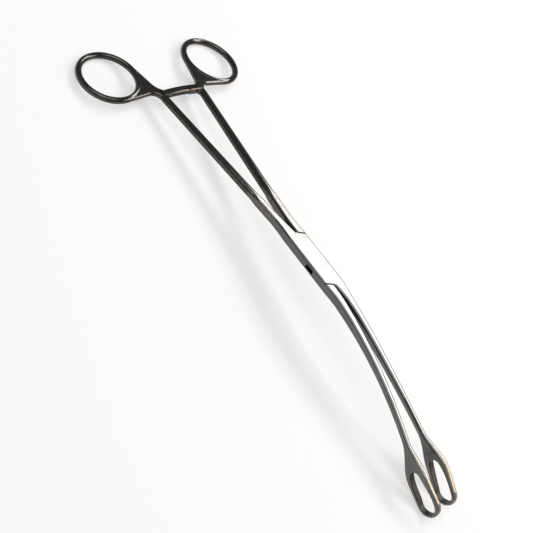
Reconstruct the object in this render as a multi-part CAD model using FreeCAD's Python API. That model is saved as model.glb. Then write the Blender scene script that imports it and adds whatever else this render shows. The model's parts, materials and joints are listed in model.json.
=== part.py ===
import FreeCAD, Part
import math
import os

# Ring-handled grasping forceps with a box lock, a ratchet and two windowed loop jaws, in millimetres.
# It is worked out lying flat: the pivot at the origin, +Y along the jaws, +X to the box half's handle,
# +Z up along the pivot pin. The whole tool is then pitched so that rings and jaws rest on z = 0.

# Handles
RATCHET_REACH = 100.3       # pivot to the middle of the ratchet arms
RING_BEHIND = 14.7          # ratchet arms to the middle of a finger ring, along Y
RING_OFFSET = 30.0          # middle line to the middle of a finger ring, along X
RING_RADIUS = 13.5          # middle line of the ring's wire
RING_WIRE = 3.1             # height of the ring's wire
RING_WIRE_WIDTH = 2.9       # width of the ring's wire
RING_TILT = 3.0             # degrees that a ring drops towards its outer side
NECK_AHEAD = 3.3            # ratchet arms to the neck where the shank fans out into the ring
SHANK_SPREAD = 3.0          # shank's centre line from the middle, at SHANK_START
SHANK_START = 23.0          # pivot to where the two shanks part
SHANK_SLOPE = 0.11          # sideways run of a shank per mm of length
SHANK_ROOT_WIDTH = 3.9      # shank's width where the shanks part
SHANK_ROOT_HEIGHT = 4.1     # shank's height there
GROUND_REACH = 34.0         # pivot to where the shank's ground flats end
FORGED_REACH = 38.0         # pivot to where the shank is fully rounded
SHANK_ROUND = 1.6           # rounding of its edges there
SHANK_NECK_WIDTH = 3.3      # shank's width at the neck
SHANK_NECK_HEIGHT = 3.2     # shank's height at the neck
SHANK_NECK_ROUND = 1.35     # rounding of its edges at the neck
SHANK_BURY = 4.0            # how far the shank runs on inside the web
SHANK_TAPER = 0.75          # what is left of its width and height there
WEB_THICKNESS = 2.5         # flattened web between the shank and the ring
WEB_ROUND = 1.0             # rounding of the web's long edges
WEB_FOOT = 0.4              # from the lower arm's tip to the web's foot on the upper arm
WEB_CORNER = 0.5            # how far the web's two corners lie outside the shank's lines
WEB_HEEL = 4.6              # run of the hollow corner behind the ratchet arm
WEB_SHOULDER = 3.8          # run of the hollow corner in front of the ring
WEB_DROP = 1.2              # how far that corner lies behind the ring's front
WEB_SINK = 0.1              # how far the web's edges lie inside the wire's outer rim

# Ratchet
RATCHET_WIDTH = 3.2         # width of an arm along the tool
RATCHET_HEIGHT = 3.2        # height of both arms together
RATCHET_GAP = 0.16          # air between the tips of the facing teeth
TOOTH_PITCH = 1.25          # distance from tooth to tooth
TOOTH_DEPTH = 0.5           # height of a tooth
TOOTH_COUNT = 8             # teeth on each arm
ARM_BEVEL = 0.4             # bevel round an arm's outer face
UPPER_ARM_TIP = 4.1         # how far past the middle the box half's arm reaches
LOWER_ARM_TIP = 7.8         # how far past the middle the insert half's arm reaches
RATCHET_BLOCK = 4.5         # face of the insert half's block, from the middle

# Box lock
LOCK_WIDTH = 10.4           # across both sides of the lock
LOCK_HEIGHT = 4.2           # over both cheeks
TONGUE_HEIGHT = 1.7         # insert half's tongue between the cheeks
TONGUE_WIDTH = 8.2          # tongue's waist at the pin
SLOT_PLAY = 0.05            # running gap above and below the tongue
STEP_INNER = 14.1           # pivot to the step line where the shanks meet
STEP_OUTER = 11.9           # pivot to the step line at the lock's side
PART_LINE = 0.68            # how far the shanks' parting line lies past the middle
FACE_PLAY = 0.14            # gap between faces of the two halves that pass each other
POST_END = 0.5              # how far the side wall of the box runs past the pivot
WAIST_TURN = 52.0           # degrees that the tongue's round waist runs past the side wall
WAIST_END = 4.9             # pivot to where the tongue is as wide as its side of the lock
LOCK_ROUND = 0.9            # rounding of the long edges of the lock and the bars
STEP_GROOVE = 0.4           # half width and depth of the groove along the step lines
BAR_BURY = 1.5              # how far a bar runs on inside the lock past the step line
TONGUE_BURY = 0.6           # how far the tongue runs on inside the bars

# Pivot pin
PIN_RADIUS = 1.6            # pin's body, tight in the cheeks
PIN_PLAY = 0.05             # running gap round the pin in the tongue
PIN_HEAD_RADIUS = 2.15      # peened head at the lock's face
PIN_HEAD_DEPTH = 0.5        # depth of the countersink that the head fills

# Jaw shanks: (distance from the pivot along the shank, value)
JAW_BEND = ((12.0, 0.0), (20.0, 5.6), (52.0, 15.0), (94.0, 22.9), (115.0, 25.7))
JAW_SPREAD = ((22.0, 2.5), (52.0, 3.0), (78.0, 4.7), (98.0, 6.7), (110.0, 5.8))
JAW_WIDTH = ((22.0, 3.9), (52.0, 2.9), (80.0, 2.4), (98.0, 2.9), (110.0, 2.9))
JAW_HEIGHT = ((24.0, 4.0), (52.0, 3.1), (80.0, 2.7))

# Loop jaws
LOOP_START = 83.0           # where the jaw shank starts to flare
LOOP_FULL = 99.0            # where the loop has its full width
LOOP_WIDTH = 10.7           # across the loop
LOOP_TIP = 115.2            # pivot to the tip, along the jaw
LOOP_CORNER = 1.15          # rounding of the loop's outer edges
LOOP_DOME = 0.25            # crown of the loop's outer face
WINDOW_START = 95.4         # where the window begins
WINDOW_MIDDLE = 104.5       # middle of the window along the jaw
WINDOW_TIP_WALL = 1.5       # wall between the window and the tip
WINDOW_ROOT_RADIUS = 2.4    # window's round end next to the shank
WINDOW_TIP_RADIUS = 3.75    # window's round end next to the tip
WINDOW_ROUND = 0.45         # rounding of the window's edges
WINDOW_CLEAR = 2.5          # how far its cutter stands out from both faces
WINDOW_FLARE = 0.6          # how much wider the cutter is out there

# Places that follow from the sizes above
RING_REACH = RATCHET_REACH + RING_BEHIND
NECK_REACH = RATCHET_REACH - NECK_AHEAD

# How finely the long curved bars are laid out
JAW_SECTIONS = 8
LOOP_SECTIONS = 11
TIP_TURNS = (0, 18, 35, 51, 66, 80)
PATH_STEP = 0.25
RIM_POINTS = 6
RIM_SINKS = (1.0, 0.45, 0.1)

# A bar that runs on inside a flat face stays this far under it; places closer than NEAR are the same
UNDER = 0.01
NEAR = 1e-6

V = FreeCAD.Vector
UP = V(0, 0, 1)
ALONG = V(0, 1, 0)


def along(stations, at):
    """Smooth curve through a few (place, value) stations, level beyond the first and last."""
    if at <= stations[0][0]:
        return stations[0][1]
    if at >= stations[-1][0]:
        return stations[-1][1]
    last = len(stations) - 1
    slopes = []
    for k in range(len(stations)):
        before = stations[max(k - 1, 0)]
        after = stations[min(k + 1, last)]
        slopes.append((after[1] - before[1]) / (after[0] - before[0]))
    k = max(i for i in range(last) if stations[i][0] <= at)
    span = stations[k + 1][0] - stations[k][0]
    t = (at - stations[k][0]) / span
    start = (1 + 2 * t) * (1 - t) ** 2 * stations[k][1] + t * (1 - t) ** 2 * span * slopes[k]
    end = t * t * (3 - 2 * t) * stations[k + 1][1] + t * t * (t - 1) * span * slopes[k + 1]
    return start + end


def soft_step(t):
    """0 to 1 with level ends."""
    t = min(max(t, 0.0), 1.0)
    return t * t * (3 - 2 * t)


def line(a, b):
    return Part.makeLine(a, b)


def arc(a, middle, b):
    return Part.Arc(a, middle, b).toShape()


def flat(x, y):
    return V(x, y, 0)


def arc_into(start, end, way):
    """Arc from start to end that runs along way where it ends."""
    side = V(-way.y, way.x, 0)
    chord = start - end
    radius = chord.dot(chord) / (2 * chord.dot(side))
    centre = end + side * radius
    lean = ((start - centre).normalize() + (end - centre).normalize()).normalize()
    return arc(start, centre + lean * abs(radius), end)


def touch_turn(middle, radius, spot, side):
    """Degrees round the circle at which a line from spot touches it, on the one side or the other."""
    way = spot - middle
    return math.degrees(math.atan2(way.y, way.x) + side * math.acos(radius / way.Length))


def plate(edges, bottom, top):
    """Flat plate over a closed outline drawn at z = 0."""
    face = Part.Face(Part.Wire(edges))
    face.translate(UP * bottom)
    return face.extrude(UP * (top - bottom))


def straight_outline(points):
    """Closed outline of straight edges through (x, y) points."""
    corners = [flat(x, y) for x, y in points]
    return [line(a, b) for a, b in zip(corners, corners[1:] + corners[:1])]


def half_turn(points):
    """The same points carried half a turn about the pivot."""
    return [(-x, -y) for x, y in points]


def mirrored(shape):
    """The same form on the other side of the tool."""
    return shape.mirror(V(0, 0, 0), V(1, 0, 0))


def bar_section(centre, out, up, half_width, half_height, corner, dome=0.0):
    """Closed wire of a bar with rounded corners; dome crowns its outer side."""
    corner = min(corner, 0.96 * half_width, 0.96 * half_height)
    nick = corner * (1 - math.sqrt(0.5))
    w = half_width
    h = half_height
    wi = w - corner
    hi = h - corner

    def at(a, b):
        return centre + out * a + up * b

    outer = line(at(w, -hi), at(w, hi))
    if dome > 0:
        outer = arc(at(w, -hi), at(w + dome, 0), at(w, hi))
    return Part.Wire([
        line(at(-wi, -h), at(wi, -h)),
        arc(at(wi, -h), at(w - nick, -h + nick), at(w, -hi)),
        outer,
        arc(at(w, hi), at(w - nick, h - nick), at(wi, h)),
        line(at(wi, h), at(-wi, h)),
        arc(at(-wi, h), at(-w + nick, h - nick), at(-w, hi)),
        line(at(-w, hi), at(-w, -hi)),
        arc(at(-w, -hi), at(-w + nick, -h + nick), at(-wi, -h)),
    ])


def root_span(inner):
    """Middle and width of a bar where it leaves the lock, from its inner face to the lock's side."""
    outer = LOCK_WIDTH / 2 - UNDER
    return (inner + outer) / 2, outer - inner


def shank_line(reach):
    """Middle of a handle shank, from the middle line."""
    return SHANK_SPREAD + SHANK_SLOPE * (reach - SHANK_START)


def shank(inner):
    """Handle shank on the +X side, from inside the lock to inside the web; inner is its face there."""
    middle, width = root_span(inner)
    root = STEP_INNER + FACE_PLAY
    end = NECK_REACH + SHANK_BURY
    spread = ((root, middle), (SHANK_START, shank_line(SHANK_START)), (end, shank_line(end)))
    widths = ((root, width), (SHANK_START, SHANK_ROOT_WIDTH), (NECK_REACH, SHANK_NECK_WIDTH),
              (end, SHANK_TAPER * SHANK_NECK_WIDTH))
    heights = ((root, LOCK_HEIGHT - 2 * UNDER), (SHANK_START, SHANK_ROOT_HEIGHT),
               (NECK_REACH, SHANK_NECK_HEIGHT), (end, SHANK_TAPER * SHANK_NECK_HEIGHT))
    corners = ((GROUND_REACH, LOCK_ROUND), (FORGED_REACH, SHANK_ROUND), (NECK_REACH, SHANK_NECK_ROUND))
    wires = []
    for reach in (STEP_OUTER - BAR_BURY, root, (root + SHANK_START) / 2, SHANK_START, GROUND_REACH,
                  FORGED_REACH, (FORGED_REACH + NECK_REACH) / 2, NECK_REACH, end):
        wires.append(bar_section(V(along(spread, reach), -reach, 0), V(1, 0, 0), UP,
                                 along(widths, reach) / 2, along(heights, reach) / 2,
                                 along(corners, reach)))
    return Part.makeLoft(wires, True, True)


def ring_wire(middle):
    """Finger ring turned from an upright oval."""
    rim = middle + V(RING_RADIUS, 0, 0)
    oval = Part.Ellipse(rim + UP * (RING_WIRE / 2), rim + V(RING_WIRE_WIDTH / 2, 0, 0), rim)
    return Part.Face(Part.Wire([oval.toShape()])).revolve(middle, UP, 360)


def ring_end():
    """Finger ring with the flattened web that carries it, on the +X side."""
    middle = flat(RING_OFFSET, -RING_REACH)
    radius = RING_RADIUS + RING_WIRE_WIDTH / 2 - WEB_SINK
    neck = shank_line(NECK_REACH)
    half = SHANK_NECK_WIDTH / 2
    arm_back = RATCHET_REACH + RATCHET_WIDTH / 2

    def ring_at(degrees, reach):
        turn = math.radians(degrees)
        return middle + V(math.cos(turn), math.sin(turn), 0) * reach

    neck_out = flat(neck + half, -NECK_REACH)
    foot_x = LOWER_ARM_TIP + WEB_FOOT
    foot = flat(foot_x, -math.sqrt(arm_back ** 2 - foot_x ** 2) + 2 * WEB_SINK)
    inner_corner = flat(neck + WEB_CORNER, -arm_back)
    inner_turn = touch_turn(middle, radius, inner_corner, 1)
    inner_way = (ring_at(inner_turn, radius) - inner_corner).normalize()
    heel = inner_corner + inner_way * WEB_HEEL
    outer_corner = flat(neck + half + WEB_CORNER, -RING_REACH + radius - WEB_DROP)
    outer_turn = touch_turn(middle, radius, outer_corner, -1)
    outer_way = (ring_at(outer_turn, radius) - outer_corner).normalize()
    shoulder = outer_corner + outer_way * WEB_SHOULDER
    edges = [
        line(neck_out, flat(neck - half, -NECK_REACH)),
        line(flat(neck - half, -NECK_REACH), foot),
        arc_into(foot, heel, inner_way),
        line(heel, ring_at(inner_turn, radius)),
        line(ring_at(inner_turn, radius), ring_at(inner_turn, RING_RADIUS)),
        arc(ring_at(inner_turn, RING_RADIUS), ring_at((inner_turn + outer_turn) / 2, RING_RADIUS),
            ring_at(outer_turn, RING_RADIUS)),
        line(ring_at(outer_turn, RING_RADIUS), ring_at(outer_turn, radius)),
        line(ring_at(outer_turn, radius), shoulder),
        arc_into(neck_out, shoulder, outer_way),
    ]
    web = plate(edges, -WEB_THICKNESS / 2, WEB_THICKNESS / 2)
    long_edges = []
    for edge in web.Edges:
        spot = edge.valueAt(0.5 * (edge.FirstParameter + edge.LastParameter))
        level = abs(abs(spot.z) - WEB_THICKNESS / 2) < NEAR
        in_ring = flat(spot.x - middle.x, spot.y - middle.y).Length < radius - WEB_SINK
        in_arm = spot.x < neck_out.x - WEB_SINK and spot.y > -arm_back
        if level and not in_ring and not in_arm:
            long_edges.append(edge)
    web = web.makeFillet(WEB_ROUND, long_edges)
    hole = Part.makeCylinder(RING_RADIUS - RING_WIRE_WIDTH / 4, 2 * RING_WIRE, middle - UP * RING_WIRE)
    end = web.cut(hole).fuse(ring_wire(middle))
    end.rotate(V(neck, 0, 0), ALONG, RING_TILT)
    return end


def sector(inner, outer, start, end, bottom, top):
    """Curved plate about the pivot, from x = start to x = end on its middle radius."""
    middle = (inner + outer) / 2
    a = math.asin(start / middle)
    b = math.asin(end / middle)

    def at(radius, turn):
        return flat(radius * math.sin(turn), -radius * math.cos(turn))

    edges = [
        arc(at(inner, a), at(inner, (a + b) / 2), at(inner, b)),
        line(at(inner, b), at(outer, b)),
        arc(at(outer, b), at(outer, (a + b) / 2), at(outer, a)),
        line(at(outer, a), at(inner, a)),
    ]
    return plate(edges, bottom, top)


def bevelled(arm):
    """The arm with its upper edges bevelled, but for the one inside the shank."""
    top = RATCHET_HEIGHT / 2
    edges = []
    for edge in arm.Edges:
        spot = edge.valueAt(0.5 * (edge.FirstParameter + edge.LastParameter))
        if abs(spot.z - top) < NEAR and spot.x < shank_line(RATCHET_REACH) - ARM_BEVEL:
            edges.append(edge)
    return arm.makeChamfer(ARM_BEVEL, edges)


def ratchet_arm(tip):
    """Arm on the +X shank with saw teeth on its underside, reaching past the middle by tip."""
    inner = RATCHET_REACH - RATCHET_WIDTH / 2
    outer = RATCHET_REACH + RATCHET_WIDTH / 2
    under = RATCHET_GAP / 2
    top = RATCHET_HEIGHT / 2
    arm = bevelled(sector(inner, outer, -tip, shank_line(RATCHET_REACH), under, top))
    spare = RATCHET_WIDTH / 4
    teeth = []
    for k in range(TOOTH_COUNT):
        foot = V(-tip + TOOTH_PITCH * (k + 0.5), -outer - spare, under - UNDER)
        peak = foot + UP * (TOOTH_DEPTH + UNDER)
        run_out = foot + V(TOOTH_PITCH, 0, 0)
        notch = Part.Wire([line(foot, peak), line(peak, run_out), line(run_out, foot)])
        teeth.append(Part.Face(notch).extrude(ALONG * (RATCHET_WIDTH + 2 * spare)))
    return arm.cut(teeth)


def jaw_place(reach, spread):
    """On the +X jaw's centre line: the place, and the ways outwards and up across the jaw."""
    y = 0.0
    z = 0.0
    steps = max(1, math.ceil(reach / PATH_STEP))
    step = reach / steps
    for k in range(steps):
        bend = math.radians(along(JAW_BEND, (k + 0.5) * step))
        y += math.cos(bend) * step
        z -= math.sin(bend) * step
    bend = math.radians(along(JAW_BEND, reach))
    slope = (along(spread, reach + PATH_STEP) - along(spread, reach - PATH_STEP)) / (2 * PATH_STEP)
    way = V(slope, math.cos(bend), -math.sin(bend)).normalize()
    up = V(0, math.sin(bend), math.cos(bend))
    return V(along(spread, reach), y, z), way.cross(up), up


def loop_flare(reach):
    return soft_step((reach - LOOP_START) / (LOOP_FULL - LOOP_START))


def window_rim(depth, grow, level=False):
    """Ring of the window's outline, depth out from the jaw's middle, grown all round by grow.
    It follows the loop's bend, or lies level in one plane."""
    middle, middle_out, middle_up = jaw_place(WINDOW_MIDDLE, JAW_SPREAD)
    root = WINDOW_START + WINDOW_ROOT_RADIUS
    tip = LOOP_TIP - WINDOW_TIP_WALL - WINDOW_TIP_RADIUS
    lean = math.asin((WINDOW_TIP_RADIUS - WINDOW_ROOT_RADIUS) / (tip - root))
    touch = math.pi / 2 + lean
    spots = []
    for k in range(RIM_POINTS):
        turn = -touch + 2 * touch * k / (RIM_POINTS - 1)
        radius = WINDOW_TIP_RADIUS + grow
        spots.append((tip + radius * math.cos(turn), radius * math.sin(turn)))
    for k in range(RIM_POINTS):
        turn = touch + 2 * (math.pi - touch) * k / (RIM_POINTS - 1)
        radius = WINDOW_ROOT_RADIUS + grow
        spots.append((root + radius * math.cos(turn), radius * math.sin(turn)))
    points = []
    for reach, height in spots:
        place, out, up = jaw_place(reach, JAW_SPREAD)
        if level:
            out, up = middle_out, middle_up
            place = middle + up.cross(out) * (reach - WINDOW_MIDDLE)
        points.append(place + out * depth + up * height)
    curve = Part.BSplineCurve()
    curve.interpolate(Points=points, PeriodicFlag=True)
    return Part.Wire([curve.toShape()])


def window():
    """Cutter for the loop's window, flared at both faces so that the rim is rounded off."""
    half = along(JAW_WIDTH, WINDOW_MIDDLE) / 2
    inside = []
    for sink in RIM_SINKS:
        grow = 1 - math.sqrt(1 - (1 - sink) ** 2)
        inside.append((-half + sink * WINDOW_ROUND, grow * WINDOW_ROUND))
    flared = WINDOW_ROUND + WINDOW_FLARE
    rims = [window_rim(-half - WINDOW_CLEAR, flared, True)]
    rims += [window_rim(depth, grow) for depth, grow in reversed(inside)]
    rims += [window_rim(LOOP_DOME - depth, grow) for depth, grow in inside]
    rims.append(window_rim(half + LOOP_DOME + WINDOW_CLEAR, flared, True))
    return Part.makeLoft(rims, True, True)


def jaw_section(reach, spread, widths, heights):
    """Rounded section of the jaw's bar; it narrows to the loop's round end near the tip."""
    place, out, up = jaw_place(reach, spread)
    flare = loop_flare(reach)
    half_height = along(heights, reach) / 2 * (1 - flare) + LOOP_WIDTH / 2 * flare
    half_width = along(widths, reach) / 2
    corner = LOCK_ROUND + (LOOP_CORNER - LOCK_ROUND) * flare
    to_tip = LOOP_TIP - reach
    if to_tip < half_height:
        half_height = math.sqrt(half_height ** 2 - (half_height - to_tip) ** 2)
    if to_tip < corner:
        half_width -= corner - math.sqrt(corner ** 2 - (corner - to_tip) ** 2)
    return bar_section(place, out, up, half_width, half_height, corner, LOOP_DOME * flare)


def jaw(inner):
    """Bent jaw shank and windowed loop on the +X side; inner is its face at the lock."""
    middle, width = root_span(inner)
    root = STEP_INNER + FACE_PLAY
    spread = ((root, middle),) + JAW_SPREAD
    widths = ((root, width),) + JAW_WIDTH
    heights = ((root, LOCK_HEIGHT - 2 * UNDER),) + JAW_HEIGHT
    part_point = JAW_SPREAD[0][0]
    radius = LOOP_WIDTH / 2
    tip_middle = LOOP_TIP - radius
    reaches = [STEP_OUTER - BAR_BURY, root, (root + part_point) / 2]
    reaches += [part_point + (LOOP_START - part_point) * k / JAW_SECTIONS for k in range(JAW_SECTIONS)]
    reaches += [LOOP_START + (tip_middle - LOOP_START) * k / LOOP_SECTIONS for k in range(LOOP_SECTIONS)]
    reaches += [tip_middle + radius * math.sin(math.radians(turn)) for turn in TIP_TURNS]
    wires = [jaw_section(reach, spread, widths, heights) for reach in reaches]
    return Part.makeLoft(wires, True, True).cut(window())


def step_line(x, play=0.0):
    """Distance from the pivot to the cheeks' slanted end at x from the middle."""
    slope = (STEP_INNER - STEP_OUTER) / (LOCK_WIDTH / 2 - PART_LINE)
    return STEP_INNER - slope * (x - PART_LINE) + play * math.sqrt(1 + slope * slope)


def cheek_outline():
    """Outline of the box: its own handle at +X and jaw at -X, the other half's sides cut on a slant."""
    side = LOCK_WIDTH / 2
    inner = PART_LINE - FACE_PLAY / 2
    rear = [(-side, -step_line(side)), (-PART_LINE, -STEP_INNER), (-inner, -STEP_INNER),
            (side, -STEP_INNER)]
    return rear + half_turn(rear)


def slot_outline():
    """Where the tongue lies and swings, up to the two side posts that join the cheeks."""
    far = 2 * LOCK_WIDTH
    waist = TONGUE_WIDTH / 2 + FACE_PLAY
    inner = PART_LINE - FACE_PLAY / 2
    half = [(-inner, -far), (-inner, -STEP_INNER - FACE_PLAY), (waist, -STEP_INNER / 2),
            (waist, POST_END), (far, POST_END), (far, far)]
    return half + half_turn(half)


def tongue_outline():
    """Waisted tongue that joins the insert half's handle at -X to its jaw at +X."""
    side = LOCK_WIDTH / 2
    waist = TONGUE_WIDTH / 2
    inner = PART_LINE + FACE_PLAY / 2
    turn = math.radians(WAIST_TURN)

    def round_side(way):
        ends = [flat(-way * waist * math.cos(t), -way * waist * math.sin(t)) for t in (turn, turn / 2, 0)]
        return arc(*ends)

    edges = []
    for way in (1, -1):
        points = [(-inner, -STEP_INNER - TONGUE_BURY), (-side, -STEP_OUTER - TONGUE_BURY),
                  (-side, -WAIST_END), (-waist * math.cos(turn), -waist * math.sin(turn))]
        corners = [flat(way * x, way * y) for x, y in points]
        edges += [line(a, b) for a, b in zip(corners, corners[1:])]
        edges.append(round_side(way))
        points = [(-waist, 0), (-waist, STEP_INNER / 2), (inner, STEP_INNER + FACE_PLAY),
                  (inner, STEP_INNER + TONGUE_BURY)]
        corners = [flat(way * x, way * y) for x, y in points]
        edges += [line(a, b) for a, b in zip(corners, corners[1:])]
    return edges


def cheek_room():
    """Room that the cheeks need in the insert half, above or below its tongue."""
    far = 2 * LOCK_WIDTH
    half = [(-far, -step_line(far, FACE_PLAY)), (-PART_LINE + FACE_PLAY, -step_line(PART_LINE, FACE_PLAY)),
            (far, -step_line(PART_LINE, FACE_PLAY))]
    return half + half_turn(half)


def step_grooves():
    """Small V grooves along both step lines, on both faces of the lock."""
    inner = PART_LINE - FACE_PLAY / 2
    start = flat(inner, step_line(inner, FACE_PLAY / 2))
    run = flat(LOCK_WIDTH, step_line(LOCK_WIDTH, FACE_PLAY / 2)) - start
    wide = V(-run.y, run.x, 0).normalize() * STEP_GROOVE
    deep = UP * STEP_GROOVE
    face = start + UP * (LOCK_HEIGHT / 2)
    corners = [face - deep, face + wide, face + wide + deep, face - wide + deep, face - wide]
    profile = Part.Wire([line(a, b) for a, b in zip(corners, corners[1:] + corners[:1])])
    groove = Part.Face(profile).extrude(run)
    turned = groove.copy()
    turned.rotate(V(0, 0, 0), UP, 180)
    return [groove, turned, groove.mirror(V(0, 0, 0), UP), turned.mirror(V(0, 0, 0), UP)]


def pin_profile(radius, head):
    """Turned shape of the pin: straight body, a cone at both ends up to the lock's faces."""
    half = LOCK_HEIGHT / 2
    neck = half - PIN_HEAD_DEPTH
    points = [V(0, 0, -half), V(head, 0, -half), V(radius, 0, -neck), V(radius, 0, neck),
              V(head, 0, half), V(0, 0, half)]
    wire = Part.Wire([line(a, b) for a, b in zip(points, points[1:] + points[:1])])
    return Part.Face(wire).revolve(V(0, 0, 0), UP, 360)


def pivot_pin():
    return pin_profile(PIN_RADIUS, PIN_HEAD_RADIUS)


def box_half():
    """Female half: +X handle with the upper ratchet arm, box with its slot, -X jaw."""
    inner = -(PART_LINE - FACE_PLAY / 2)
    cheeks = plate(straight_outline(cheek_outline()), -LOCK_HEIGHT / 2, LOCK_HEIGHT / 2)
    sides = []
    for edge in cheeks.Edges:
        spot = edge.valueAt(0.5 * (edge.FirstParameter + edge.LastParameter))
        lengthwise = abs(edge.tangentAt(edge.FirstParameter).y) > 0.99
        if lengthwise and abs(abs(spot.x) - LOCK_WIDTH / 2) < NEAR:
            sides.append(edge)
    cheeks = cheeks.makeFillet(LOCK_ROUND, sides)
    whole = cheeks.multiFuse([shank(inner), mirrored(jaw(inner)), ring_end(), ratchet_arm(UPPER_ARM_TIP)])
    half_slot = TONGUE_HEIGHT / 2 + SLOT_PLAY
    slot = plate(straight_outline(slot_outline()), -half_slot, half_slot)
    slot = slot.common(plate(straight_outline(grown_lock()), -half_slot, half_slot))
    return whole.cut([slot, pivot_pin()] + step_grooves())


def grown_lock():
    """Rectangle just past the lock's sides, between the two step lines."""
    side = LOCK_WIDTH / 2 + 1.0
    end = STEP_INNER + 0.5
    return [(-side, -end), (side, -end), (side, end), (-side, end)]


def insert_half():
    """Male half: -X handle with the lower ratchet arm and its block, tongue, +X jaw."""
    inner = PART_LINE + FACE_PLAY / 2
    block = bevelled(sector(RATCHET_REACH - RATCHET_WIDTH / 2, RATCHET_REACH + RATCHET_WIDTH / 2,
                            RATCHET_BLOCK, shank_line(RATCHET_REACH),
                            -RATCHET_HEIGHT / 2, RATCHET_HEIGHT / 2))
    arm = ratchet_arm(LOWER_ARM_TIP).mirror(V(0, 0, 0), UP)
    handle = mirrored(shank(inner).multiFuse([ring_end(), arm, block]))
    whole = handle.fuse(jaw(inner))
    half = TONGUE_HEIGHT / 2
    far = LOCK_HEIGHT
    room = straight_outline(cheek_room())
    whole = whole.cut([plate(room, half, far), plate(room, -far, -half)])
    tongue = plate(tongue_outline(), -half, half)
    bore = Part.makeCylinder(PIN_RADIUS + PIN_PLAY, LOCK_HEIGHT, V(0, 0, -LOCK_HEIGHT / 2))
    return whole.fuse(tongue).cut([bore] + step_grooves())


def rest_placement(shapes):
    """Pitch about X that brings rings and jaw tips down to z = 0, the box centred over the origin."""
    length = RING_REACH + LOOP_TIP

    def pitched(degrees):
        trial = Part.makeCompound([s.copy() for s in shapes])
        trial.rotate(V(0, 0, 0), V(1, 0, 0), degrees)
        return trial

    def lowest(trial, start):
        slab = Part.makeBox(2 * length, length, 2 * length, V(-length, start, -length))
        return trial.common(slab).optimalBoundingBox().ZMin

    pitch = 0.0
    for turn in range(4):
        trial = pitched(pitch)
        lift = lowest(trial, -length - RING_REACH / 2) - lowest(trial, LOOP_TIP / 2)
        pitch += math.degrees(math.atan2(lift, length))
    box = pitched(pitch).optimalBoundingBox()
    shift = V(-(box.XMin + box.XMax) / 2, -(box.YMin + box.YMax) / 2, -box.ZMin)
    return FreeCAD.Placement(shift, FreeCAD.Rotation(V(1, 0, 0), pitch))


def build():
    parts = {"box_half": box_half(), "insert_half": insert_half(), "pivot_pin": pivot_pin()}
    rest = rest_placement(list(parts.values()))
    for name, shape in parts.items():
        shape.Placement = rest.multiply(shape.Placement)
    return parts, rest


if __name__ == "__main__":
    os.makedirs("parts", exist_ok=True)
    for name, shape in build()[0].items():
        shape.exportStep("parts/" + name + ".step")
        state = "valid" if shape.isValid() else "INVALID"
        print(name, state, len(shape.Solids), "solid", round(shape.Volume, 1))
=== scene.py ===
import json
from math import radians

import bpy
import numpy as np
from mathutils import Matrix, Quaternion, Vector

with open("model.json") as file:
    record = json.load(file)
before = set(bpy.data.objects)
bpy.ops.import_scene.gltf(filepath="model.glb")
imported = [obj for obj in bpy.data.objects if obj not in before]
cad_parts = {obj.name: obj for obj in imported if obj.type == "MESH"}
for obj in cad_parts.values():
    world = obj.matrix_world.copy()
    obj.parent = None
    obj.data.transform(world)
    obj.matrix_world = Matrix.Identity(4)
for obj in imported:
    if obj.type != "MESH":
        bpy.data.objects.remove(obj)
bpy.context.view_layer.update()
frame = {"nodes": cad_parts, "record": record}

nodes = frame["nodes"]


# Steel of both halves
# The halves are forged stainless steel, ground flat on the lock and buffed along their length, so that fine
# scratches run along Y. The handles are painted darker, as painted shade for the dark surroundings they mirror.
# The loops' window walls are rougher and painted darker as painted shade, and the loops' upper rims are brushed
# and painted lighter and warmer as a painted highlight.

def buffed_marks():
    """Node group: masks of fine lengthwise scratches, broad smears and small dots left by the grinding."""
    group = bpy.data.node_groups.new("buffed marks", "ShaderNodeTree")
    face = group.interface
    face.new_socket("Scratch Size", in_out="INPUT", socket_type="NodeSocketFloat").default_value = 900.0
    face.new_socket("Smear Size", in_out="INPUT", socket_type="NodeSocketFloat").default_value = 60.0
    face.new_socket("Dot Size", in_out="INPUT", socket_type="NodeSocketFloat").default_value = 1700.0
    face.new_socket("Scratches", in_out="OUTPUT", socket_type="NodeSocketFloat")
    face.new_socket("Smears", in_out="OUTPUT", socket_type="NodeSocketFloat")
    face.new_socket("Dots", in_out="OUTPUT", socket_type="NodeSocketFloat")
    new = group.nodes.new
    join = group.links.new
    given = new("NodeGroupInput")
    result = new("NodeGroupOutput")
    place = new("ShaderNodeTexCoord")

    stretch = new("ShaderNodeMapping")
    stretch.inputs["Scale"].default_value = (1.0, 0.035, 1.0)
    scratches = new("ShaderNodeTexNoise")
    scratches.inputs["Detail"].default_value = 4.0
    scratches.inputs["Roughness"].default_value = 0.65
    join(place.outputs["Object"], stretch.inputs["Vector"])
    join(stretch.outputs["Vector"], scratches.inputs["Vector"])
    join(given.outputs["Scratch Size"], scratches.inputs["Scale"])
    join(scratches.outputs["Fac"], result.inputs["Scratches"])

    smears = new("ShaderNodeTexNoise")
    smears.inputs["Detail"].default_value = 3.0
    smears.inputs["Distortion"].default_value = 0.6
    join(place.outputs["Object"], smears.inputs["Vector"])
    join(given.outputs["Smear Size"], smears.inputs["Scale"])
    join(smears.outputs["Fac"], result.inputs["Smears"])

    dots = new("ShaderNodeTexNoise")
    dots.inputs["Detail"].default_value = 2.0
    sharp = new("ShaderNodeMapRange")
    sharp.interpolation_type = "SMOOTHSTEP"
    sharp.inputs["From Min"].default_value = 0.46
    sharp.inputs["From Max"].default_value = 0.64
    join(place.outputs["Object"], dots.inputs["Vector"])
    join(given.outputs["Dot Size"], dots.inputs["Scale"])
    join(dots.outputs["Fac"], sharp.inputs["Value"])
    join(sharp.outputs["Result"], result.inputs["Dots"])
    return group


marks = buffed_marks()


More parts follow.
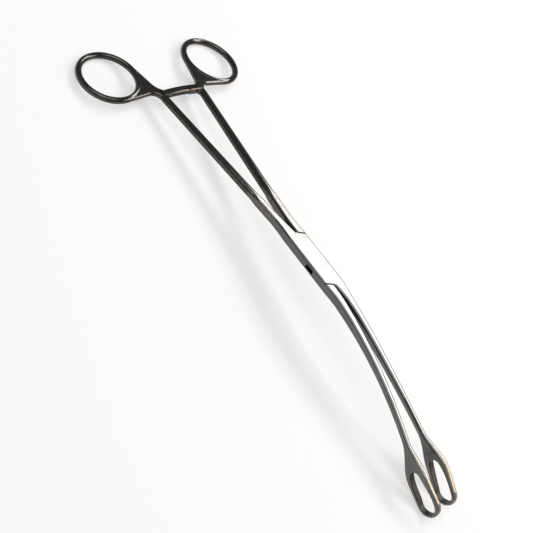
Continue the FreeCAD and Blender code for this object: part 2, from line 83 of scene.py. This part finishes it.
def polished_steel(name, low, high, smooth, worn, scratch_bump):
    """Polished stainless steel: colour between low and high by smears, roughness between smooth and worn."""
    steel = bpy.data.materials.new(name)
    steel.use_nodes = True
    tree = steel.node_tree
    new = tree.nodes.new
    join = tree.links.new
    shader = tree.nodes["Principled BSDF"]
    shader.inputs["Metallic"].default_value = 1.0
    pattern = new("ShaderNodeGroup")
    pattern.node_tree = marks
    pattern.name = "marks"

    tone = new("ShaderNodeValToRGB")
    tone.color_ramp.elements[0].position = 0.30
    tone.color_ramp.elements[0].color = (*low, 1)
    tone.color_ramp.elements[1].position = 0.72
    tone.color_ramp.elements[1].color = (*high, 1)
    join(pattern.outputs["Smears"], tone.inputs["Fac"])
    join(tone.outputs["Color"], shader.inputs["Base Color"])

    sheen = new("ShaderNodeMapRange")
    sheen.inputs["From Min"].default_value = 0.3
    sheen.inputs["From Max"].default_value = 0.7
    sheen.inputs["To Min"].default_value = smooth
    sheen.inputs["To Max"].default_value = worn
    join(pattern.outputs["Scratches"], sheen.inputs["Value"])
    join(sheen.outputs["Result"], shader.inputs["Roughness"])

    bump = new("ShaderNodeBump")
    bump.inputs["Strength"].default_value = scratch_bump
    bump.inputs["Distance"].default_value = 0.00002
    join(pattern.outputs["Scratches"], bump.inputs["Height"])
    join(bump.outputs["Normal"], shader.inputs["Normal"])
    return steel


def ramp_mask(tree, value, start, end):
    """Mask that goes smoothly from 0 where value is start to 1 where it is end."""
    mask = tree.nodes.new("ShaderNodeMapRange")
    mask.interpolation_type = "SMOOTHSTEP"
    mask.inputs["From Min"].default_value = start
    mask.inputs["From Max"].default_value = end
    tree.links.new(value, mask.inputs["Value"])
    return mask.outputs["Result"]


def both(tree, first, second):
    """Product of two masks."""
    product = tree.nodes.new("ShaderNodeMath")
    product.operation = "MULTIPLY"
    tree.links.new(first, product.inputs[0])
    tree.links.new(second, product.inputs[1])
    return product.outputs["Value"]


def facing_out(tree, place, middle):
    """How far a face's plane lies outwards of middle, seen along X: below 0 on the wall of a window."""
    from_middle = tree.nodes.new("ShaderNodeVectorMath")
    from_middle.operation = "SUBTRACT"
    from_middle.inputs[1].default_value = middle
    across = tree.nodes.new("ShaderNodeVectorMath")
    across.operation = "MULTIPLY"
    across.inputs[1].default_value = (0, 1, 1)
    outward = tree.nodes.new("ShaderNodeVectorMath")
    outward.operation = "DOT_PRODUCT"
    tree.links.new(place.outputs["Object"], from_middle.inputs[0])
    tree.links.new(from_middle.outputs["Vector"], across.inputs[0])
    tree.links.new(across.outputs["Vector"], outward.inputs[0])
    tree.links.new(place.outputs["Normal"], outward.inputs[1])
    return outward.outputs["Value"]


def tint_where(tree, mask, colour):
    """Multiply what feeds Base Color by colour, where mask is 1."""
    base = tree.nodes["Principled BSDF"].inputs["Base Color"]
    before = base.links[0].from_socket
    tint = tree.nodes.new("ShaderNodeMix")
    tint.data_type = "RGBA"
    tint.blend_type = "MULTIPLY"
    plain, tinting = [socket for socket in tint.inputs if socket.type == "RGBA"]
    tinting.default_value = (*colour, 1)
    tinted = next(socket for socket in tint.outputs if socket.type == "RGBA")
    tree.links.new(mask, tint.inputs["Factor"])
    tree.links.new(before, plain)
    tree.links.new(tinted, base)


def roughen_where(tree, mask, roughness):
    """Give the steel this roughness where mask is 1."""
    rough = tree.nodes["Principled BSDF"].inputs["Roughness"]
    before = rough.links[0].from_socket
    change = tree.nodes.new("ShaderNodeMapRange")
    change.inputs["To Max"].default_value = roughness
    tree.links.new(mask, change.inputs["Value"])
    tree.links.new(before, change.inputs["To Min"])
    tree.links.new(change.outputs["Result"], rough)


def half_finish(pivot_y, window_middle):
    """Steel of a half, its finish, painted shade and painted highlight placed by the distance from the pivot
    along Y and by the loop's window.
    """
    dots_start, dots_full = pivot_y - 0.018, pivot_y - 0.030
    handle_shade_start, handle_shade_full = pivot_y - 0.038, pivot_y - 0.041
    loop_start, loop_full = pivot_y + 0.088, pivot_y + 0.094

    steel = polished_steel("polished half", (0.120, 0.118, 0.115), (0.162, 0.160, 0.156), 0.07, 0.15, 0.08)
    tree = steel.node_tree
    place = tree.nodes.new("ShaderNodeTexCoord")
    along = tree.nodes.new("ShaderNodeSeparateXYZ")
    facing = tree.nodes.new("ShaderNodeSeparateXYZ")
    tree.links.new(place.outputs["Object"], along.inputs["Vector"])
    tree.links.new(place.outputs["Normal"], facing.inputs["Vector"])

    # Painted shade: the handles' colour is multiplied by 0.6, for the dark surroundings they mirror.
    handle_painted_shade = ramp_mask(tree, along.outputs["Y"], handle_shade_start, handle_shade_full)
    tint_where(tree, handle_painted_shade, (0.60, 0.60, 0.60))
    ground = ramp_mask(tree, along.outputs["Y"], dots_start, dots_full)
    dotted = both(tree, ground, tree.nodes["marks"].outputs["Dots"])
    tint_where(tree, dotted, (0.56, 0.50, 0.40))

    loop = ramp_mask(tree, along.outputs["Y"], loop_start, loop_full)
    outward = facing_out(tree, place, window_middle)
    # Painted shade: the window's inner walls are darkened to 0.4 as if in shadow; their higher roughness is a
    # real dull finish.
    dull_window_wall_painted_shade = both(tree, loop, ramp_mask(tree, outward, -0.0005, -0.0015))
    tint_where(tree, dull_window_wall_painted_shade, (0.40, 0.39, 0.38))
    roughen_where(tree, dull_window_wall_painted_shade, 0.45)
    rim = both(tree, loop, ramp_mask(tree, outward, 0.0015, 0.0030))
    # Painted highlight: the upper rims are painted 2.2 times lighter and warmer, for a warm reflection; their
    # higher roughness is a real brushed finish.
    brushed_rim_painted_highlight = both(tree, rim, ramp_mask(tree, facing.outputs["Z"], 0.20, 0.60))
    tint_where(tree, brushed_rim_painted_highlight, (2.2, 2.0, 1.8))
    roughen_where(tree, brushed_rim_painted_highlight, 0.34)
    return steel


pivot = frame["record"]["behaviour"]["joints"][0]["pos_m"]
openings = {item["name"]: np.mean(item["box_m"], axis=0) for item in frame["record"]["physics"]["openings"]}
middle = (openings["loop_window_insert_root"] + openings["loop_window_insert_tip"]) / 2
half_steel = half_finish(pivot[1], (0, middle[1], middle[2]))
for name in ("box_half", "insert_half"):
    for slot in nodes[name].material_slots:
        slot.material = half_steel


# Pivot pin
# The rivet is of the same steel. It is peened into the lock's countersinks and ground flush with it, so that
# only a faint change of grain shows where its head ends.

pin_steel = polished_steel("ground pin", (0.125, 0.123, 0.120), (0.166, 0.164, 0.160), 0.10, 0.20, 0.10)
for slot in nodes["pivot_pin"].material_slots:
    slot.material = pin_steel


# Floor
# A plain sheet of matt white card, 3 m square. The tool lies on it, casts a soft shadow there, and mirrors it
# in its sides.

def white_sheet():
    """Square of 3 m just under z = 0, in one flat grid worked out from its corner steps."""
    steps = np.linspace(-1.5, 1.5, 5)
    x, y = np.meshgrid(steps, steps, indexing="ij")
    points = np.stack([x.ravel(), y.ravel(), np.full(x.size, -0.00002)], axis=1)
    corner = (np.arange(4)[:, None] * 5 + np.arange(4)[None, :]).ravel()
    faces = np.stack([corner, corner + 5, corner + 6, corner + 1], axis=1)
    mesh = bpy.data.meshes.new("floor")
    mesh.from_pydata(points.tolist(), [], faces.tolist())
    return bpy.data.objects.new("floor", mesh)


def white_card():
    """Matt white, half of it plain white as seen and as mirrored by the metal, so that shadows stay light."""
    card = bpy.data.materials.new("white card")
    card.use_nodes = True
    new = card.node_tree.nodes.new
    join = card.node_tree.links.new
    paint = card.node_tree.nodes["Principled BSDF"]
    paint.inputs["Base Color"].default_value = (0.90, 0.90, 0.90, 1)
    paint.inputs["Roughness"].default_value = 0.9
    ray = new("ShaderNodeLightPath")
    seen_or_mirrored = new("ShaderNodeMath")
    seen_or_mirrored.operation = "ADD"
    seen_at_all = new("ShaderNodeMath")
    seen_at_all.operation = "ADD"
    join(ray.outputs["Is Camera Ray"], seen_or_mirrored.inputs[0])
    join(ray.outputs["Is Glossy Ray"], seen_or_mirrored.inputs[1])
    join(seen_or_mirrored.outputs["Value"], seen_at_all.inputs[0])
    join(ray.outputs["Is Transmission Ray"], seen_at_all.inputs[1])
    share = new("ShaderNodeMapRange")
    share.inputs["To Max"].default_value = 0.5
    join(seen_at_all.outputs["Value"], share.inputs["Value"])
    white = new("ShaderNodeEmission")
    white.inputs["Strength"].default_value = 1.0
    mixed = new("ShaderNodeMixShader")
    join(share.outputs["Result"], mixed.inputs["Fac"])
    join(paint.outputs["BSDF"], mixed.inputs[1])
    join(white.outputs["Emission"], mixed.inputs[2])
    join(mixed.outputs["Shader"], card.node_tree.nodes["Material Output"].inputs["Surface"])
    return card


floor = white_sheet()
bpy.context.collection.objects.link(floor)
floor.data.materials.append(white_card())


# Studio light
# A long panel on the -X side whitens the tops of the lock and of the jaw shanks. It ends short of what the
# handles' tops mirror, so they stay dark. A warm one tints the loops' rims, and a lamp overhead lights the sheet.

world = bpy.data.worlds.new("room")
bpy.context.scene.world = world
world.use_nodes = True
room = world.node_tree.nodes["Background"]
room.inputs["Color"].default_value = (1, 1, 1, 1)
room.inputs["Strength"].default_value = 0.3


def soft_panel(name, place, target, width, height, power, colour=(1, 1, 1)):
    """Rectangular area lamp at place, facing target, with its width level."""
    lamp = bpy.data.lights.new(name, "AREA")
    lamp.shape = "RECTANGLE"
    lamp.size = width
    lamp.size_y = height
    lamp.energy = power
    lamp.color = colour
    panel = bpy.data.objects.new(name, lamp)
    panel.location = place
    panel.rotation_euler = (Vector(target) - Vector(place)).to_track_quat("-Z", "Y").to_euler()
    bpy.context.collection.objects.link(panel)


soft_panel("far panel", (-0.70, -0.035, 0.68), (0, -0.035, 0.03), 0.96, 0.26, 5.7)
soft_panel("warm panel", (-0.70, 0.62, 0.70), (0, 0.62, 0.03), 0.26, 0.60, 3.0, (1.0, 0.85, 0.71))
soft_panel("overhead lamp", (0.30, 0.0, 1.3), (0.05, 0, 0), 1.2, 1.2, 7.5)


# Camera
# The photograph is taken from the +X side, about 45 degrees down. The camera is rolled, so that the tool runs
# from the upper left to the lower right.

camera_data = bpy.data.cameras.new("camera")
camera_data.sensor_width = 36.0
camera_data.lens = 67.51
camera = bpy.data.objects.new("camera", camera_data)
camera_place = Vector((0.29764, 0.08659, 0.30029))
camera_target = Vector((0.01544, -0.00009, 0.00900))
camera_roll = radians(45.7371)
camera.location = camera_place
camera.rotation_mode = "QUATERNION"
camera.rotation_quaternion = ((camera_target - camera_place).to_track_quat("-Z", "Y")
                              @ Quaternion((0, 0, 1), camera_roll))
bpy.context.collection.objects.link(camera)
bpy.context.scene.camera = camera
bpy.context.scene.view_settings.view_transform = "Standard"
